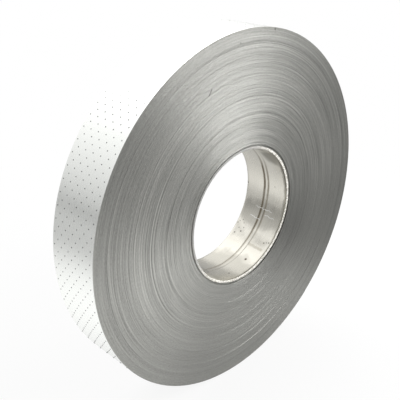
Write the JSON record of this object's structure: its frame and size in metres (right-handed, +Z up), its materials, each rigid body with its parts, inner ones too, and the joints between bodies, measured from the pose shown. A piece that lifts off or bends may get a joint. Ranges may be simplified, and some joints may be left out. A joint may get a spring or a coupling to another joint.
{
  "type": "perforated aluminum strip coil",
  "caption": "Coil of narrow perforated aluminum strip wound on a thin metal core sleeve, standing on its rim; raw stock fed from an uncoiler that grips the bore.",
  "frame": {"origin": "on the floor, under the middle of the coil where its rim touches down", "axes": "+Y along the coil axis, away from the face seen in the picture; +Z up; +X across the face"},
  "size_m": [0.4, 0.062, 0.4],
  "materials": {
    "strip": "bright satin rolled strip, with fine turn lines on the end faces",
    "sleeve": "bright rolled sheet, lightly scratched"
  },
  "bodies": {
    "root": {"strip_coil": "strip", "core_sleeve": "sleeve"}
  },
  "joints": []
}
